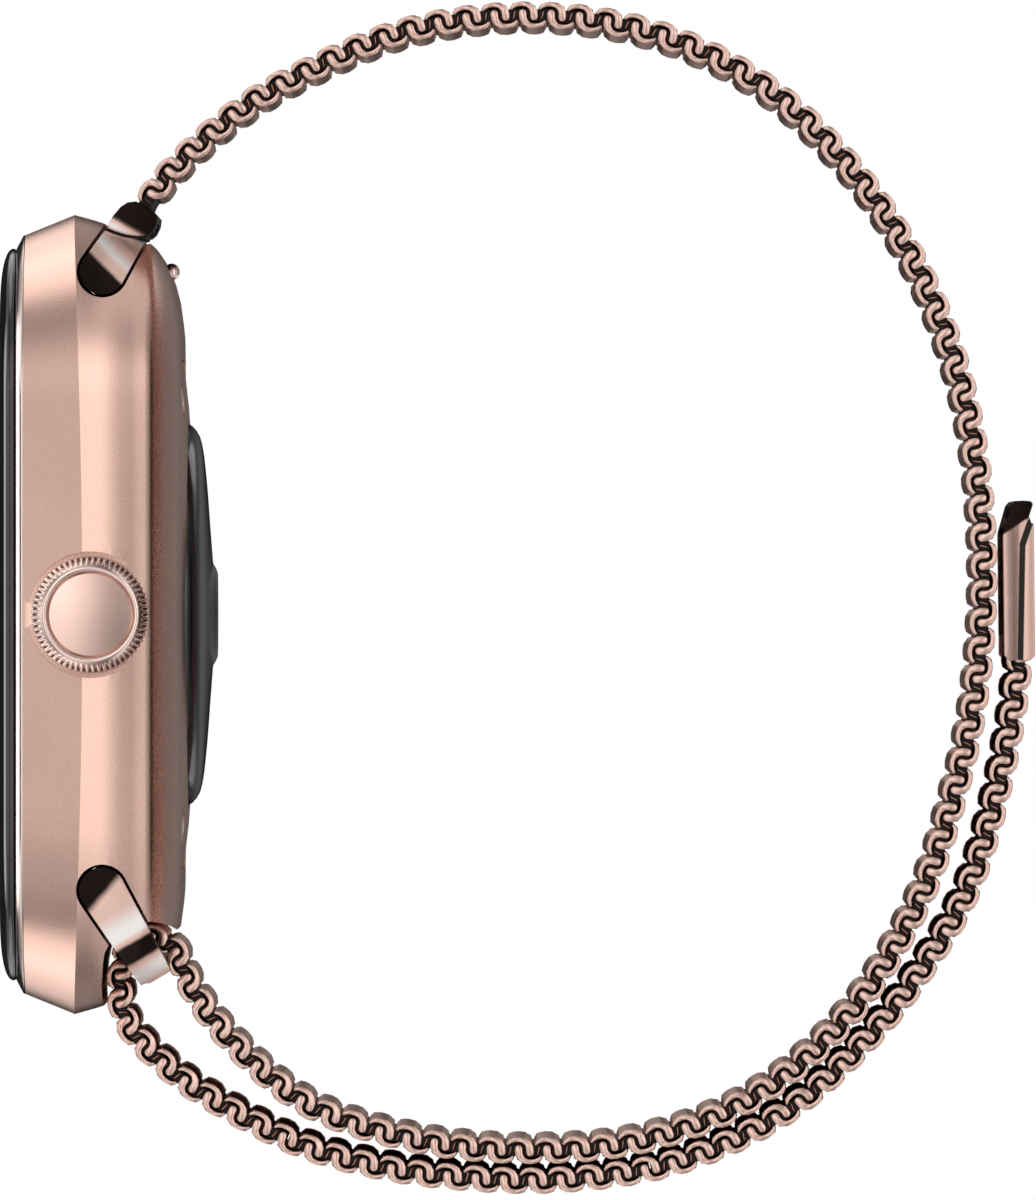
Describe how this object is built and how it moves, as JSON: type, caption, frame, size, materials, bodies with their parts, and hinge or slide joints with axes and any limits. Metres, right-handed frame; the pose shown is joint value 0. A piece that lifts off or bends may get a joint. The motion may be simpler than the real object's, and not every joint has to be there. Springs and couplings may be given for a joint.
{
  "type": "smartwatch",
  "caption": "Smartwatch with a rounded rectangular metal case, crown, sensor dome and a woven metal loop band that closes with a magnetic clasp.",
  "frame": {"origin": "middle of the raised spot on the sensor dome, which rests on the wrist", "axes": "+Z to 12 o'clock, +X to the crown side, +Y from the display through the wrist"},
  "size_m": [0.0388, 0.057, 0.0656],
  "materials": {
    "case_matte": "bead-blasted, anodised rose gold",
    "polished_metal": "mirror polished rose gold",
    "crown_metal": "knurled, satin rose gold",
    "crown_cap": "polished rose gold, slightly domed",
    "clasp_metal": "polished rose gold",
    "band_mesh": "woven flattened wire, rose gold",
    "cover_glass": "black glass over a dark display",
    "sensor_glass": "dark polished crystal",
    "display": "black display panel",
    "back_cover": "dark satin ceramic",
    "black_plastic": "moulded",
    "seal_rubber": "matt",
    "inner_steel": "stainless, satin",
    "circuit_board": "solder mask",
    "copper": "bare copper",
    "battery_foil": "foil pouch"
  },
  "bodies": {
    "case": {"case_body": "case_matte", "bezel_ring": "polished_metal", "cover_glass": "cover_glass", "display_gasket": "seal_rubber", "display_panel": "display", "mid_frame": "inner_steel", "main_board": "circuit_board", "battery": "battery_foil", "haptic_motor": "inner_steel", "shield_can": "inner_steel", "speaker_module": "black_plastic", "display_flex": "copper", "back_cover": "back_cover", "back_gasket": "seal_rubber", "back_screw_1": "inner_steel", "back_screw_2": "inner_steel", "back_screw_3": "inner_steel", "back_screw_4": "inner_steel", "sensor_dome": "sensor_glass", "sensor_board": "circuit_board", "charge_coil": "copper", "sensor_led": "inner_steel", "photodiode_left": "black_plastic", "photodiode_right": "black_plastic", "crown_bush": "inner_steel", "crown_o_ring": "seal_rubber", "crown_spring": "inner_steel", "crown_switch": "black_plastic", "release_spring_top": "inner_steel", "release_spring_bottom": "inner_steel"},
    "crown_slide": {"crown_washer": "inner_steel"},
    "crown": {"crown_knurled_ring": "crown_metal", "crown_cap": "crown_cap", "crown_stem": "inner_steel"},
    "release_top": {"release_button_top": "polished_metal"},
    "release_bottom": {"release_button_bottom": "polished_metal"},
    "top_connector": {"connector_top": "polished_metal", "latch_leaf_top": "inner_steel", "end_pin": "inner_steel"},
    "strand_a": {"end_link": "polished_metal", "strand_1": "band_mesh"},
    "strand_b": {"strand_2": "band_mesh"},
    "strand_c": {"strand_3": "band_mesh"},
    "loop": {"loop_frame": "polished_metal", "latch_leaf_bottom": "inner_steel", "strand_4": "band_mesh", "strand_5": "band_mesh", "strand_fold": "band_mesh"},
    "tail_1": {"tail_1": "band_mesh"},
    "tail_2": {"tail_2": "band_mesh"},
    "tail_3": {"tail_3": "band_mesh"},
    "tail_4": {"tail_4": "band_mesh"},
    "tail_5": {"tail_5": "band_mesh"},
    "tail_6": {"tail_6": "band_mesh", "clasp_cover": "clasp_metal", "clasp_plate": "clasp_metal", "clasp_magnet": "inner_steel"}
  },
  "joints": [
    {"name": "crown_press", "type": "slide", "parent": "case", "child": "crown_slide", "axis": [-1, 0, 0], "range_m": [0, 0.00035], "stiffness_N_per_m": 2000, "springref_m": -0.0002, "deforming": ["crown_spring"]},
    {"name": "crown_spin", "type": "hinge", "parent": "crown_slide", "child": "crown", "pos_m": [0.018, -0.0068, 0], "axis": [1, 0, 0], "continuous": true},
    {"name": "release_press_top", "type": "slide", "parent": "case", "child": "release_top", "axis": [0, -0.9848, -0.1736], "range_m": [0, 0.0003], "stiffness_N_per_m": 1500, "springref_m": -0.0002, "deforming": ["release_spring_top"]},
    {"name": "release_press_bottom", "type": "slide", "parent": "case", "child": "release_bottom", "axis": [0, -1, 0], "range_m": [0, 0.0003], "stiffness_N_per_m": 1500, "springref_m": -0.0002, "deforming": ["release_spring_bottom"]},
    {"name": "connector_slide", "type": "slide", "parent": "case", "child": "top_connector", "axis": [1, 0, 0], "range_m": [0, 0.036], "deforming": ["latch_leaf_top"]},
    {"name": "loop_slide", "type": "slide", "parent": "case", "child": "loop", "axis": [1, 0, 0], "range_m": [0, 0.036], "deforming": ["latch_leaf_bottom"]},
    {"name": "strand_flex_a", "type": "hinge", "parent": "top_connector", "child": "strand_a", "pos_m": [0, -0.00458, 0.02157], "axis": [1, 0, 0], "range_deg": [0, 1.25]},
    {"name": "strand_flex_b", "type": "hinge", "parent": "strand_a", "child": "strand_b", "pos_m": [0, 0.0322, 0.02748], "axis": [1, 0, 0], "range_deg": [-4.5, 0]},
    {"name": "strand_flex_c", "type": "hinge", "parent": "strand_b", "child": "strand_c", "pos_m": [0, 0.04225, 0.00218], "axis": [1, 0, 0], "range_deg": [0, 8]},
    {"name": "tail_peel_1", "type": "hinge", "parent": "loop", "child": "tail_1", "pos_m": [0, -0.0044, -0.02324], "axis": [-1, 0, 0], "range_deg": [0, 15]},
    {"name": "tail_peel_2", "type": "hinge", "parent": "tail_1", "child": "tail_2", "pos_m": [0, 0.00392, -0.02889], "axis": [-1, 0, 0], "range_deg": [0, 15]},
    {"name": "tail_peel_3", "type": "hinge", "parent": "tail_2", "child": "tail_3", "pos_m": [0, 0.01379, -0.031], "axis": [-1, 0, 0], "range_deg": [0, 15]},
    {"name": "tail_peel_4", "type": "hinge", "parent": "tail_3", "child": "tail_4", "pos_m": [0, 0.02389, -0.0305], "axis": [-1, 0, 0], "range_deg": [0, 15]},
    {"name": "tail_peel_5", "type": "hinge", "parent": "tail_4", "child": "tail_5", "pos_m": [0, 0.03295, -0.02615], "axis": [-1, 0, 0], "range_deg": [0, 15]},
    {"name": "tail_peel_6", "type": "hinge", "parent": "tail_5", "child": "tail_6", "pos_m": [0, 0.03954, -0.0185], "axis": [-1, 0, 0], "range_deg": [0, 15]}
  ],
  "couplings": [
    {"joint": "loop_slide", "follows": "connector_slide", "ratio": 1},
    {"joint": "strand_flex_a", "follows": "strand_flex_c", "ratio": 0.15198},
    {"joint": "strand_flex_b", "follows": "strand_flex_c", "ratio": -0.54849}
  ]
}
